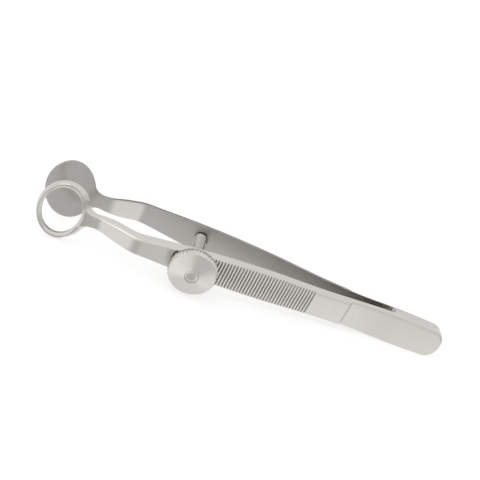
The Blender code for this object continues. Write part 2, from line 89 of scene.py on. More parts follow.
class ForcepsArmSizes(PropertyGroup):
    """Sizes that both arms share"""
    weld_end: length("Weld end", "Where the weld of the arms ends, from the tail", 13.2)
    slot_gap: length("Slot gap", "Gap between the arms where the weld ends", 1.86)
    weld_thickness: length("Weld thickness", "Thickness of both arms at the weld", 3.8)
    spring: length("Spring", "Where the lines of weld and grip cross, from the tail", 19.6)
    spring_thickness: length("Spring thickness", "Thickness of an arm at its spring", 1.0)
    shoulder: length("Shoulder", "Foot of the step from spring to grip, from the tail", 23.9)
    shoulder_length: length("Shoulder length", "Length of that step", 0.5)
    shoulder_radius: length("Shoulder radius", "Rounding of that step", 0.35)
    grip_thickness: length("Grip thickness", "Thickness of an arm after the step", 1.6)
    neck: length("Neck", "Where an arm turns back inwards, from the tip", 21.0)
    neck_thickness: length("Neck thickness", "Thickness of an arm there", 1.85)
    neck_radius: length("Neck radius", "Rounding of that turn", 6.0)
    neck_taper: length("Neck taper", "From that turn to the face of plate or ring", 7.8)
    foot: length("Foot", "Where an arm turns out again to carry plate or ring, from the tip", 14.5)
    foot_gap: length("Foot gap", "From the middle plane to the inner face there", 3.65)
    foot_radius: length("Foot radius", "Rounding of that turn", 8.0)
    grip_slope: FloatProperty(name="Grip slope", description="How fast a grip leaves the middle",
                              default=0.0953, precision=4)
    bending_line: length("Bending line", "Where the ring arm bends, from the tail", 18.2)
    closed_gap: length("Closed gap", "Gap between plate and ring when closed", 0.3)
    side_slope: FloatProperty(name="Side slope", description="Lean of the arms' sides, which are "
                              "widest at the inner face", default=0.30, precision=3)
    slope_start: length("Slope start", "Where the sides begin to lean, from the tail", 9.5)
    slope_full: length("Slope full", "Where they lean fully, from the tail", 17.0)
    slope_fade: length("Slope fade", "Where they begin to straighten, from the tip", 18.0)
    slope_end: length("Slope end", "Where they are straight again, from the tip", 10.2)
    edge_radius: length("Edge radius", "Rounding of the arms' edges", 0.35)
    crown: length("Crown radius", "Radius of the slight dome across an arm's outer face", 45.0)
    groove_pitch: length("Groove pitch", "Distance between the cross grooves of a grip", 0.70)
    groove_width: length("Groove width", "Width of a groove at the surface", 0.44)
    groove_depth: length("Groove depth", "Depth of a groove", 0.26)
    groove_start: length("Groove start", "First groove, from the tail", 33.0)
    groove_end: length("Groove end", "Last groove, from the tip", 37.8)


class ForcepsTipSizes(PropertyGroup):
    """Sizes of plate and ring"""
    plate_width: length("Plate width", "Width of the plate, along the forceps", 10.7)
    ring_width: length("Ring width", "Width of the ring, along the forceps", 10.8)
    height: length("Height", "Height of plate and ring", 13.8)
    plate_thickness: length("Plate thickness", "Thickness of the plate", 1.3)
    plate_rounding: length("Plate rounding", "Rounding of the plate's outer edge", 0.60)
    ring_thickness: length("Ring thickness", "Thickness of the ring", 1.15)
    ring_rounding: length("Ring rounding", "Rounding of the ring's outer edge", 0.16)
    wall_slope: FloatProperty(name="Wall slope", description="Lean of the walls of plate and "
                              "ring, which are widest at the inner face", default=0.30,
                              precision=3)
    neck_slope: FloatProperty(name="Neck slope", description="Further lean of the ring's wall "
                              "where it faces the neck", default=0.9, precision=3)
    rim_tip: length("Rim at the tip", "Width of the ring's rim at its tip", 1.2)
    opening_width: length("Opening width", "Width of the ring's opening", 8.0)
    opening_height: length("Opening height", "Height of the ring's opening", 11.1)
    bevel_width: length("Bevel width", "Width of the slope round the opening", 0.52)
    bevel_depth: length("Bevel depth", "Depth of the slope round the opening", 0.40)
    fillet: length("Fillet", "Rounding between neck and oval", 2.8)
    neck_half_width: length("Neck half width", "Half the width of the neck", 1.58)


class ForcepsScrewSizes(PropertyGroup):
    """Sizes of the post, its holes and the thumb nut"""
    post: length("Post place", "Where the post crosses the middle plane, from the tip", 34.6)
    lean: FloatProperty(name="Lean", description="Lean of the post towards the tips at the nut",
                        default=math.radians(2.6), subtype="ANGLE")
    diameter: length("Thread diameter", "Outer diameter of the post's thread", 2.8)
    pitch: length("Thread pitch", "Distance between the turns of the thread", 0.45)
    thread_depth: length("Thread depth", "Depth of the thread", 0.24)
    proud: length("Proud end", "How far the post's end stands out of the nut's rim", 1.3)
    dome: length("Dome", "Height of the rounding at that end", 0.25)
    head_diameter: length("Head diameter", "Diameter of the staked head", 3.6)
    head_depth: length("Head depth", "Depth of the staked head", 0.8)
    hole_play: length("Hole play", "Gap round the post in the ring arm", 0.12)
    slot_play: length("Slot play", "Extra length of the slot in the ring arm", 0.9)
    slot_offset: length("Slot offset", "Middle of the slot from the post, towards the tail", 0.25)
    nut_diameter: length("Nut diameter", "Diameter of the thumb nut", 10.5)
    nut_rim: length("Nut rim", "Thickness of the nut at its rim", 1.9)
    nut_crown: length("Nut crown", "Rise of the nut's face towards its bore", 1.2)
    nut_chamfer: length("Nut chamfer", "Chamfer of the nut's rim", 0.2)
    hub_diameter: length("Hub diameter", "Diameter of the hub behind the nut", 6.0)
    hub_length: length("Hub length", "Length of that hub", 0.6)
    stand_off: length("Stand-off", "From the hub to the ring arm, along the post", 0.75)
    teeth: IntProperty(name="Knurl teeth", description="Teeth round the nut's rim", default=44)
    knurl_depth: length("Knurl depth", "Depth of the knurling", 0.22)


class ForcepsColours(PropertyGroup):
    """Colours of the steel, of the shade painted into grooves and thread valleys, and of the floor"""
    steel: colour("Steel", "Stainless steel, as it is seen straight on in white light", "#C9C6C2")
    # The groove colour is painted shade: the bottom of a groove is darkened where shade falls.
    groove: colour("Groove", "Steel at the bottom of a groove, where polish leaves it dull",
                   "#94908C")
    # The thread valley colour is painted shade: the thread's valleys are darkened where shade falls
    # between the crests.
    valley: colour("Thread valley", "Bottom of the thread, where oil and dust stay", "#6A6662")
    floor: colour("Floor", "Pale floor", "#F7F7F6")


# Side view: the lines of the faces

ARC_STEPS = 40  # points on each rounded corner


def rounded_line(corners):
    """Line through corners (along, across, radius), each rounded by the arc that touches both sides.

    The arc starts radius times tan(half the turn) before the corner and turns about the point that
    lies one radius to the side.
    """
    places = [np.array(corner[:2]) for corner in corners]
    parts = [places[0][None]]
    for before, corner, after, (_, _, radius) in zip(places, places[1:], places[2:], corners[1:]):
        incoming = (corner - before) / np.linalg.norm(corner - before)
        outgoing = (after - corner) / np.linalg.norm(after - corner)
        cross = incoming[0] * outgoing[1] - incoming[1] * outgoing[0]
        turn = math.atan2(cross, incoming @ outgoing)
        start = corner - incoming * radius * math.tan(abs(turn) / 2)
        centre = start + np.array([-incoming[1], incoming[0]]) * math.copysign(radius, turn)
        angles = np.linspace(0, turn, ARC_STEPS)
        arm = start - centre
        x = arm[0] * np.cos(angles) - arm[1] * np.sin(angles)
        y = arm[0] * np.sin(angles) + arm[1] * np.cos(angles)
        parts.append(centre + np.column_stack([x, y]))
    parts.append(places[-1][None])
    return np.concatenate(parts)


def grip_line(arm, along):
    """Inner face of a straight grip: it rises by its slope from the place where it leaves the weld."""
    return arm.slot_gap / 2 + (along - arm.spring) * arm.grip_slope


def foot_line(arm, along):
    """Inner face of plate or ring, sloped so that both are parallel when the forceps is closed."""
    reach = REACH - arm.foot - arm.bending_line
    slope = (arm.foot_gap - arm.closed_gap / 2) / reach
    return arm.foot_gap + (along - (REACH - arm.foot)) * slope


def inner_face(arm):
    """Inner line of an arm: flat along the weld, then spring, grip, neck and foot."""
    half = arm.slot_gap / 2
    reach = arm.spring - arm.weld_end
    radius = reach / math.tan(math.atan(arm.grip_slope) / 2)
    neck = REACH - arm.neck
    return rounded_line([(-reach, half, 0), (arm.spring, half, radius),
                         (neck, grip_line(arm, neck), arm.neck_radius),
                         (REACH - arm.foot, arm.foot_gap, arm.foot_radius),
                         (REACH + arm.foot, foot_line(arm, REACH + arm.foot), 0)])


def outer_face(arm, tip_thickness):
    """Outer line of an arm: weld, spring, step, grip, neck and the face of plate or ring."""
    radius = (arm.spring - arm.weld_end) / arm.grip_slope
    top = arm.shoulder + arm.shoulder_length
    neck = REACH - arm.neck
    end = neck + arm.neck_taper
    spring = arm.spring_thickness
    weld = arm.weld_thickness / 2
    return rounded_line([(-arm.spring, weld, 0), (arm.spring, weld, radius),
                         (arm.shoulder, grip_line(arm, arm.shoulder) + spring, arm.shoulder_radius),
                         (top, grip_line(arm, top) + arm.grip_thickness, arm.shoulder_radius),
                         (neck, grip_line(arm, neck) + arm.neck_thickness, arm.neck_radius),
                         (end, foot_line(arm, end) + tip_thickness, arm.foot_radius / 2),
                         (REACH + arm.foot,
                          foot_line(arm, REACH + arm.foot) + tip_thickness, 0)])


def height_on(line, along):
    """Distance from the middle plane of a line, at distances from the tail."""
    return np.interp(along, line[:, 0], line[:, 1])


def smooth(low, high, value):
    """0 below low, 1 above high, and 3t^2 - 2t^3 in between."""
    t = np.clip((value - low) / (high - low), 0, 1)
    return t * t * (3 - 2 * t)


def towards_tip(span, along):
    """0 before the first of two distances from the tip, and 1 after the second."""
    return smooth(REACH - span[0], REACH - span[1], along)


# Plan view: the outline of plate, neck, grip and tail

TAIL_HALF_WIDTH = 3.68 * MM
TAIL_ROUND = 3.2 * MM  # length of the tail's rounded end
TAIL_SQUARENESS = 2.25  # 2 is an ellipse, and more is squarer
GRIP_HALF_WIDTH = 3.30 * MM  # in the middle of the grooves

# Half widths between: (distance from the tail, half width), and (distance from the tip, half width)
TAIL_STATIONS = np.array([(10.2, 3.80), (19.2, 3.32), (29.2, 3.05)]) * MM
TIP_STATIONS = np.array([(37.0, 2.98), (31.0, 2.60), (25.0, 2.08), (20.0, 1.75), (16.0, 1.62)]) * MM

# Points of the outline
TAIL_POINTS = 30
FILLET_POINTS = 22
OVAL_POINTS = 110
ROW_STEP = 0.3 * MM  # between rows of the plain strap
GROOVE_ROWS = 14  # for each groove
SHOULDER_STEP = 0.1 * MM
SHOULDER_SPAN = (-1.2 * MM, 2.6 * MM)  # round the shoulder's foot
SLOT_STEP = 0.06 * MM
SLOT_SPAN = (-0.5 * MM, 1.2 * MM)  # round the place where the weld ends


def half_widths(arm, tip, along):
    """Half width of the strap: a cubic through stations, with the slope of their neighbours at each."""
    middle = (arm.groove_start + REACH - arm.groove_end) / 2
    stations = np.concatenate([[(TAIL_ROUND, TAIL_HALF_WIDTH)], TAIL_STATIONS,
                               [(middle, GRIP_HALF_WIDTH)], TIP_STATIONS * (-1, 1) + (REACH, 0),
                               [(REACH - arm.foot, tip.neck_half_width)]])
    places, widths = stations.T
    slopes = np.gradient(widths, places)
    slopes[-1] = 0.0
    index = np.clip(np.searchsorted(places, along) - 1, 0, len(places) - 2)
    span = places[index + 1] - places[index]
    t = np.clip((along - places[index]) / span, 0, 1)
    ease = t * t * (3 - 2 * t)
    return (widths[index] * (1 - ease) + widths[index + 1] * ease
            + span * slopes[index] * t * (1 - t) ** 2 - span * slopes[index + 1] * t * t * (1 - t))


def fillet_place(tip, reach, width):
    """Centre of the fillet between neck and oval, and the oval's angle where they touch.

    The centre lies one radius beside the neck. Halving its possible place again and again finds
    where the oval is one radius away.
    """
    samples, halvings = 4000, 50
    angles = np.linspace(0, math.pi / 2, samples)
    middle = reach - width / 2
    oval_x = middle - width / 2 * np.cos(angles)
    oval_z = tip.height / 2 * np.sin(angles)
    height = tip.neck_half_width + tip.fillet
    low, high = middle - width / 2 - 2 * tip.fillet, middle
    for _ in range(halvings):
        centre = (low + high) / 2
        distances = np.hypot(oval_x - centre, oval_z - height)
        if distances.min() > tip.fillet:
            low = centre
        else:
            high = centre
    return centre, height, angles[distances.argmin()]


def strap_places(arm, start, end):
    """Distances from the tail at which the strap gets a row: close where it is grooved or bent."""
    coarse = np.arange(start, end, ROW_STEP)
    groove_from = arm.groove_start - arm.groove_pitch
    groove_to = REACH - arm.groove_end + arm.groove_pitch
    grooves = np.arange(groove_from, groove_to, arm.groove_pitch / GROOVE_ROWS)
    shoulder = np.arange(*arm.shoulder + np.array(SHOULDER_SPAN), SHOULDER_STEP)
    slot = np.arange(*arm.weld_end + np.array(SLOT_SPAN), SLOT_STEP)
    outside = np.ones(len(coarse), dtype=bool)
    spare = ROW_STEP / 3
    for close in (grooves, shoulder, slot):
        outside &= (coarse < close[0] - spare) | (coarse > close[-1] + spare)
    places = np.concatenate([coarse[outside], grooves, shoulder, slot, [end]])
    return np.sort(places[places > start])


class Outline:
    """Upper half of an arm's plan from tail to tip, with its outward normals.

    The tail is an ellipse with an exponent of its own. Then come the strap's half widths, the circle
    of the fillet between neck and oval, and the oval.
    """

    def __init__(self, arm, tip, reach, width):
        t = np.linspace(0, math.pi / 2, TAIL_POINTS)
        power = 2 / TAIL_SQUARENESS
        tail = np.column_stack([TAIL_ROUND * (1 - np.cos(t) ** power),
                                TAIL_HALF_WIDTH * np.sin(t) ** power])
        centre, height, meeting = fillet_place(tip, reach, width)
        along = strap_places(arm, TAIL_ROUND, centre)
        strap = np.column_stack([along, half_widths(arm, tip, along)])
        middle = reach - width / 2
        touch_x = middle - width / 2 * math.cos(meeting) - centre
        touch_z = height - tip.height / 2 * math.sin(meeting)
        t = np.linspace(0, math.atan2(touch_x, touch_z), FILLET_POINTS)[1:]
        fillet = np.column_stack([centre + tip.fillet * np.sin(t), height - tip.fillet * np.cos(t)])
        t = np.linspace(meeting, math.pi, OVAL_POINTS)[1:]
        oval = np.column_stack([middle - width / 2 * np.cos(t), tip.height / 2 * np.sin(t)])
        points = np.concatenate([tail, strap, fillet, oval])
        self.neck_row = len(tail) + len(strap) - 1
        steps = np.gradient(points, axis=0)
        steps /= np.linalg.norm(steps, axis=1)[:, None]
        self.normal = np.column_stack([-steps[:, 1], steps[:, 0]])
        self.normal[0] = (-1, 0)
        self.normal[-1] = (1, 0)
        points[0, 1] = points[-1, 1] = 0.0
        self.points = points - SKIN * self.normal

    def inset(self, distance):
        """Outline moved inwards along its normals; distance may be an array with a row per column."""
        distance = np.asarray(distance)
        if distance.ndim == 0:
            return self.points - distance * self.normal
        moved = self.points[:, None] - distance[..., None] * self.normal[:, None]
        moved[0, :, 1] = moved[-1, :, 1] = 0.0
        return moved


# Solids from grids

def grid_faces(rows, columns, first=0, around=False):
    """Quads of a grid whose points are numbered row by row; around closes the rows' ends."""
    index = first + np.arange(rows * columns).reshape(rows, columns)
    if around:
        index = np.column_stack([index, index[:, 0]])
    return np.stack([index[:-1, :-1], index[1:, :-1], index[1:, 1:], index[:-1, 1:]],
                    axis=-1).reshape(-1, 4)


def solid(name, grids, around=False, attributes=None, keep_angle=SHARP_ANGLE):
    """Mesh object from grids of points (rows, columns, 3): their shared edges are merged."""
    points, faces, count = [], [], 0
    for grid in grids:
        rows, columns = grid.shape[:2]
        points.append(grid.reshape(-1, 3))
        faces.append(grid_faces(rows, columns, count, around))
        count += rows * columns
    points = np.concatenate(points)
    faces = np.concatenate(faces)
    mesh = bpy.data.meshes.new(name)
    mesh.from_pydata(points, [], faces)
    for key, values in (attributes or {}).items():
        layer = mesh.attributes.new(key, "FLOAT", "POINT")
        layer.data.foreach_set("value", values(points).astype(np.float32))
    shape = bmesh.new()
    shape.from_mesh(mesh)
    bmesh.ops.remove_doubles(shape, verts=shape.verts, dist=MERGE)
    bmesh.ops.recalc_face_normals(shape, faces=shape.faces)
    shape.to_mesh(mesh)
    shape.free()
    mesh.validate()
    shade(mesh, keep_angle)
    obj = bpy.data.objects.new(name, mesh)
    bpy.context.scene.collection.objects.link(obj)
    return obj


def shade(mesh, keep_angle):
    """Smooth shading, with edges sharper than an angle in degrees kept."""
    mesh.shade_smooth()
    mesh.set_sharp_from_angle(angle=math.radians(keep_angle))


def cut(obj, cutter):
    """Take a cutter out of an object and put the result in its mesh."""
    modifier = obj.modifiers.new("cut", "BOOLEAN")
    modifier.operation = "DIFFERENCE"
    modifier.solver = "EXACT"
    modifier.object = cutter
    bpy.context.view_layer.update()
    graph = bpy.context.evaluated_depsgraph_get()
    mesh = bpy.data.meshes.new_from_object(obj.evaluated_get(graph))
    obj.modifiers.clear()
    old = obj.data
    obj.data = mesh
    bpy.data.meshes.remove(old)
    mesh.name = obj.name
    shade(mesh, SHARP_ANGLE)
    bpy.data.objects.remove(cutter, do_unlink=True)


def in_frame(along, across, height, side):
    """Points of an arm in the frame: side 1 is the plate arm, side -1 the ring arm."""
    along, across, height = np.broadcast_arrays(along, across, height)
    return np.stack([LENGTH / 2 - along, MIDDLE_Y + side * across, MIDDLE_Z + height], axis=-1)


# Where one form gives way to the next, from the tip
TIP_ROUNDING_SPAN = (19 * MM, 12 * MM)  # outer edges: from the arm's rounding to the tip's
CROWN_SPAN = (26 * MM, 14 * MM)  # the dome across the outer face flattens
POLISH_SPAN = (13 * MM, 9.5 * MM)  # the polish of plate and ring begins

TAIL_SOFT_LENGTH = 7 * MM  # the tail's edges are rounder over this length
TAIL_SOFTER = 0.7  # by this share
GROOVE_LIP = 1.15  # above 1, the lips of a groove are rounded
# Points this close to a groove's bottom get its painted shade as well as its roughness.
GROOVE_REACH = 1.3  # only points less deep than this many groove depths are coloured as a groove
WELD_SEAM = 0.004 * MM  # the welded faces stay this far off the middle plane
SLOT_BLUNT = (-0.1 * MM, 0.8 * MM)  # the slot opens to its full width from here to here, at the weld
SLOT_EDGE_START = 1.5 * MM  # the slot's edges are broken after this length
SEAM_EDGE = 0.02  # rounding of inner edges as a share of the outer ones, at the weld
SLOT_EDGE = 0.16  # and how much more along the slot


class ArmShape:
    """Faces of one arm: how far out each point lies, by its place in the plan."""

    def __init__(self, arm, tip_thickness, tip_rounding, wall_slope, neck_slope):
        self.arm = arm
        self.wall_slope = wall_slope
        self.neck_slope = neck_slope
        self.inner_line = inner_face(arm)
        self.outer_line = outer_face(arm, tip_thickness)
        self.tip_rounding = tip_rounding

    def slope(self, along):
        """Lean of the sides: none at the weld, and none again at plate and ring."""
        arm = self.arm
        rise = smooth(arm.slope_start, arm.slope_full, along)
        return arm.side_slope * rise * (1 - towards_tip((arm.slope_fade, arm.slope_end), along))

    def outer_radius(self, along):
        """Rounding of the outer edges: larger at the tail, and the tip's own at plate or ring."""
        share = towards_tip(TIP_ROUNDING_SPAN, along)
        tail = 1 - smooth(0, TAIL_SOFT_LENGTH, along)
        radius = self.arm.edge_radius * (1 - share) + self.tip_rounding * share
        return radius * (1 + TAIL_SOFTER * tail)

    def groove(self, along):
        """Depth of the cross grooves: a vee with rounded lips, repeated at the pitch."""
        arm = self.arm
        last = REACH - arm.groove_end
        count = math.floor((last - arm.groove_start) / arm.groove_pitch)
        turn = np.clip(np.round((along - arm.groove_start) / arm.groove_pitch), 0, count)
        distance = np.abs(along - arm.groove_start - turn * arm.groove_pitch)
        share = np.clip(1 - distance / (arm.groove_width / 2), 0, 1)
        return arm.groove_depth * share ** GROOVE_LIP

    def outer(self, along, height, drop=0.0):
        """Outer face: the outer line, less the crown, or the groove where that is deeper."""
        crown = height ** 2 / (2 * self.arm.crown) * (1 - towards_tip(CROWN_SPAN, along))
        line = height_on(self.outer_line, along) - SKIN
        return line - np.maximum(crown + drop, self.groove(along))

    def inner(self, along, rise=0.0):
        """Inner face: the inner line, and nearly the middle plane along the weld."""
        line = height_on(self.inner_line, along)
        blunt = self.arm.weld_end + np.array(SLOT_BLUNT)
        welded = 1 - smooth(*blunt, along)
        return line * (1 - welded) + WELD_SEAM * welded + rise

    def inner_radius(self, along):
        """Rounding of the inner edges, which are only broken, and which start where the weld ends."""
        start = smooth(self.arm.weld_end, self.arm.weld_end + SLOT_EDGE_START, along)
        return self.arm.edge_radius * (SEAM_EDGE + SLOT_EDGE * start)

    def lean(self, outline, across):
        """How far a point of the side lies outside the plan: slope times depth under the brow.

        The brow is the outer face, and over the spring the level of the grip's face. At plate and
        ring the side lies inside the plan instead, by slope times height over the inner face. That
        slope grows with the square of the normal's share towards the neck.
        """
        arm = self.arm
        along = outline.points[:, :1]
        grip = height_on(self.inner_line, along) + arm.grip_thickness
        brow = np.maximum(height_on(self.outer_line, along), grip)
        depth = brow - np.maximum(across, arm.slot_gap / 2)
        share = towards_tip((arm.slope_fade, arm.slope_end), along)
        towards_neck = np.maximum(-outline.normal[:, :1], 0)
        wall = self.wall_slope + self.neck_slope * towards_neck ** 2
        return self.slope(along) * depth - share * wall * (across - self.inner(along))


EDGE_STEPS = 7  # points across a rounded edge
FACE_STEPS = 16  # quads across a face


def side_strip(outline, shape, side):
    """Edges and side wall of an arm's upper half.

    Across, an angle runs a quarter turn over the outer edge: the outline moves in by radius times
    (1 - sine) and the face drops by radius times (1 - cosine). Then the same at the inner edge.
    """
    turn = np.linspace(0, math.pi / 2, EDGE_STEPS)
    along = outline.points[:, :1]
    radius = shape.outer_radius(along)
    drop = radius * (1 - np.cos(turn))
    out = shape.lean(outline, height_on(shape.outer_line, along) - drop)
    moved = outline.inset(radius * (1 - np.sin(turn)) - out)
    outer = in_frame(moved[..., 0], shape.outer(moved[..., 0], moved[..., 1], drop),
                     moved[..., 1], side)
    small = shape.inner_radius(along)
    rise = small * (1 - np.sin(turn))
    out = shape.lean(outline, shape.inner(along, rise))
    moved = outline.inset(small * (1 - np.cos(turn)) - out)
    inner = in_frame(moved[..., 0], shape.inner(moved[..., 0], rise), moved[..., 1], side)
    return np.concatenate([outer, inner], axis=1)


def mirrored(grid):
    """Grid mirrored across the middle of the arms' width."""
    copy = grid.copy()
    copy[..., 2] = 2 * MIDDLE_Z - copy[..., 2]
    return copy


def face_strips(outline, shape, side, rows):
    """Outer and inner face between the upper and the lower edge, for the given rows."""
    across = np.linspace(1, -1, FACE_STEPS + 1)
    edge = outer_edge(outline, shape)[rows]
    along, height = edge[:, :1], edge[:, 1:] * across
    outer = in_frame(along, shape.outer(along, height), height, side)
    edge = inner_edge(outline, shape)[rows]
    along, height = edge[:, :1], edge[:, 1:] * across
    inner = in_frame(along, shape.inner(along), height, side)
    return [outer, inner]


def outer_edge(outline, shape):
    """Outline of the flat part of the outer face."""
    along = outline.points[:, :1]
    out = shape.lean(outline, height_on(shape.outer_line, along))
    return outline.inset(shape.outer_radius(along) - out)[:, 0]


def inner_edge(outline, shape):
    """Outline of the flat part of the inner face."""
    along = outline.points[:, :1]
    out = shape.lean(outline, shape.inner(along))
    return outline.inset(shape.inner_radius(along) - out)[:, 0]


RIM_STEPS = 9  # points from the ring's outline to its opening
CREST_ROUNDING = 0.08 * MM  # between the rim and the slope round the opening
CREST_SKIP = 4  # only every fourth point of the slope's line is kept
OPENING_EDGE = 0.15 * MM  # rounding of the opening's edge at the inner face


def tip_loop(edge, neck_row):
    """Closed loop round the tip: the edge from neck to tip, its mirror image, and across the neck."""
    across = np.linspace(-1, 1, FACE_STEPS + 1)[1:-1]
    upper = edge[neck_row:]
    lower = upper[::-1][1:] * (1, -1)
    neck = np.column_stack([np.full(len(across), upper[0, 0]), upper[0, 1] * across])
    return np.concatenate([upper, lower, neck])


def opening_profile(tip, thickness):
    """Profile of the opening's wall as (distance from the opening, depth): slope, wall, rounded edge."""
    slope = math.atan2(tip.bevel_depth, tip.bevel_width)
    crest = rounded_line([(tip.bevel_width + 1.5 * CREST_ROUNDING, 0, 0),
                          (tip.bevel_width, 0, CREST_ROUNDING),
                          (0, tip.bevel_depth, CREST_ROUNDING * slope), (0, thickness - SKIN, 0)])
    turn = np.linspace(0, math.pi / 2, EDGE_STEPS)
    edge = np.column_stack([OPENING_EDGE * (1 - np.cos(turn)),
                            thickness - OPENING_EDGE * (1 - np.sin(turn))])
    return np.concatenate([crest[:-1:CREST_SKIP], edge])


def ring_web(outline, shape, tip, side):
    """Faces between the ring's outline and its opening, and the wall of the opening.

    Each point of the outline, and of the line across the neck, is joined to the point of the opening
    that lies in the same direction.
    """
    half_width = tip.opening_width / 2
    half_height = tip.opening_height / 2
    middle = REACH - tip.rim_tip - half_width
    outside = tip_loop(outer_edge(outline, shape), outline.neck_row)
    inside = tip_loop(inner_edge(outline, shape), outline.neck_row)
    angle = np.arctan2(outside[:, 1] / half_height, (middle - outside[:, 0]) / half_width)
    opening = np.column_stack([middle - half_width * np.cos(angle), half_height * np.sin(angle)])
    normal = np.column_stack([-half_height * np.cos(angle), half_width * np.sin(angle)])
    normal /= np.linalg.norm(normal, axis=1)[:, None]

    profile = opening_profile(tip, tip.ring_thickness - SKIN)
    places = opening[:, None] + profile[None, :, :1] * normal[:, None]
    face = height_on(shape.outer_line, places[..., 0]) - SKIN
    wall = in_frame(places[..., 0], face - profile[None, :, 1], places[..., 1], side)

    share = np.linspace(0, 1, RIM_STEPS)[None, :, None]
    outer = outside[:, None] * (1 - share) + places[:, :1] * share
    outer = in_frame(outer[..., 0], shape.outer(outer[..., 0], outer[..., 1]), outer[..., 1], side)
    inner = inside[:, None] * (1 - share) + places[:, -1:] * share
    inner = in_frame(inner[..., 0], shape.inner(inner[..., 0]), inner[..., 1], side)
    wall[:, 0] = outer[:, -1]
    wall[:, -1] = inner[:, -1]
    return [np.concatenate([grid, grid[:1]]) for grid in (outer, wall, inner)]


def arm_attributes(shape, side):
    """Shares for the finish and for the shade painted into the grooves: depth in a groove, and how
    polished the tip is.
    """
    def grooved(points):
        along = LENGTH / 2 - points[:, 0]
        across = side * (points[:, 1] - MIDDLE_Y)
        sunk = height_on(shape.outer_line, along) - across
        depth = np.minimum(shape.groove(along), sunk)
        near = sunk < shape.arm.groove_depth * GROOVE_REACH
        return np.clip(depth / shape.arm.groove_depth, 0, 1) * near

    def polished(points):
        return towards_tip(POLISH_SPAN, LENGTH / 2 - points[:, 0])

    return {"groove": grooved, "polish": polished}


# The post's line, and pieces turned round it

class Screw:
    """Line of the post: its direction towards the nut, and places along it from the middle plane."""

    def __init__(self, sizes, arm, tip):
        self.sizes = sizes
        self.out = np.array([-math.sin(sizes.lean), -math.cos(sizes.lean), 0.0])
        self.up = np.array([0.0, 0.0, 1.0])
        self.along = np.cross(self.out, self.up)
        self.origin = np.array([LENGTH / 2 - REACH + sizes.post, MIDDLE_Y, MIDDLE_Z])
        from_tail = REACH - sizes.post
        upright = math.cos(sizes.lean)
        ring_side = height_on(outer_face(arm, tip.ring_thickness), from_tail)
        plate_side = height_on(outer_face(arm, tip.plate_thickness), from_tail)
        self.ring_face = float(ring_side) / upright  # outer face of the ring arm
        self.head = -float(plate_side) / upright  # outer face of the plate arm
        self.arm_face = -float(height_on(inner_face(arm), from_tail)) / upright  # its inner face
        self.nut_back = self.ring_face + sizes.stand_off
        self.tip = self.nut_back + sizes.hub_length + sizes.nut_rim + sizes.proud

    def turned(self, radius, distance, angle):
        """Points at a radius and angle round the line, at a distance along it."""
        radius, distance, angle = np.broadcast_arrays(radius, distance, angle)
        return (self.origin + distance[..., None] * self.out
                + (radius * np.cos(angle))[..., None] * self.along
                + (radius * np.sin(angle))[..., None] * self.up)


CUTTER_SIDES = 64
HOLE_FIT = 0.01 * MM  # gap round the post in the plate arm
HEAD_FIT = 0.03 * MM  # gap round its staked head
HEAD_LIP = 0.04 * MM  # the hole's cone starts this far inside the outer face
CUTTER_REACH = 1.0 * MM  # how far a cutter stands out of what it cuts
SEAT_DEPTH = 1.1 * MM  # of the mouth round the post, from the inner face
SEAT_GAP = (0.25 * MM, 0.22 * MM)  # its gap round the hole, at the inner face and at its floor
SEAT_SHIFT = (0.18 * MM, 0.0, 0.18 * MM)  # towards tail and top, where it shows as a dark crescent
SLOT_ARC_POINTS = 25
SLOT_REACH = 3.0 * MM  # how far the slot's cutter reaches to both sides of the arm's middle


def turned_cutter(name, screw, profile, shift=(0.0, 0.0, 0.0)):
    """Closed cutter from a profile of (radius, distance), spun round the post's line and shifted."""
    angle = np.linspace(0, 2 * math.pi, CUTTER_SIDES + 1)[None, :-1]
    profile = np.array(profile)
    grid = screw.turned(profile[:, :1], profile[:, 1:], angle) + shift
    return solid(name, [grid], around=True)


def post_hole_cutter(screw):
    """Cutter for the post's hole in the plate arm, which widens like a cone for the staked head."""
    sizes = screw.sizes
    hole = sizes.diameter / 2 + HOLE_FIT
    head = sizes.head_diameter / 2 + HEAD_FIT
    deep = screw.head - CUTTER_REACH
    return turned_cutter("post_hole", screw, [
        (0, CUTTER_REACH), (hole, CUTTER_REACH), (hole, screw.head + sizes.head_depth),
        (head, screw.head + HEAD_LIP), (head, deep), (0, deep), (0, CUTTER_REACH)])


def post_seat_cutter(screw):
    """Cutter for the mouth of that hole: a shallow round recess, set a little to one side."""
    hole = screw.sizes.diameter / 2 + HOLE_FIT
    floor = screw.arm_face - SEAT_DEPTH
    return turned_cutter("post_seat", screw, [
        (0, CUTTER_REACH), (hole + SEAT_GAP[0], CUTTER_REACH), (hole + SEAT_GAP[1], floor),
        (0, floor), (0, CUTTER_REACH)], SEAT_SHIFT)


def slot_cutter(screw, arm):
    """Cutter for the ring arm's slot: two half circles joined by straight sides."""
    sizes = screw.sizes
    radius = sizes.diameter / 2 + sizes.hole_play
    angle = np.linspace(-math.pi / 2, math.pi / 2, SLOT_ARC_POINTS)
    half_x = sizes.slot_play / 2 + radius * np.cos(angle)
    half_z = radius * np.sin(angle)
    x = np.concatenate([half_x, -half_x])
    z = np.concatenate([half_z, -half_z])
    slope = math.atan(arm.grip_slope)
    normal = np.array([math.sin(slope), -math.cos(slope), 0.0])
    along = np.array([math.cos(slope), math.sin(slope), 0.0])
    middle = screw.origin + screw.out * (screw.ring_face - arm.grip_thickness / 2)
    middle = middle + np.array([sizes.slot_offset, 0, 0])
    depths = np.array([-SLOT_REACH, SLOT_REACH])[:, None, None]
    grid = middle + depths * normal + x[:, None] * along + z[:, None] * screw.up
    caps = [np.repeat(grid[i:i + 1].mean(axis=1, keepdims=True), grid.shape[1], axis=1)
            for i in (0, -1)]
    return solid("post_slot", [np.concatenate([caps[0], grid, caps[1]])], around=True)


def tooth(turns):
    """Triangle wave: 0 on the crest, and 1 along the valley, which is flat for a fifth of a turn."""
    return np.clip(1.25 - 2.5 * np.abs(np.mod(turns, 1) - 0.5), 0, 1)


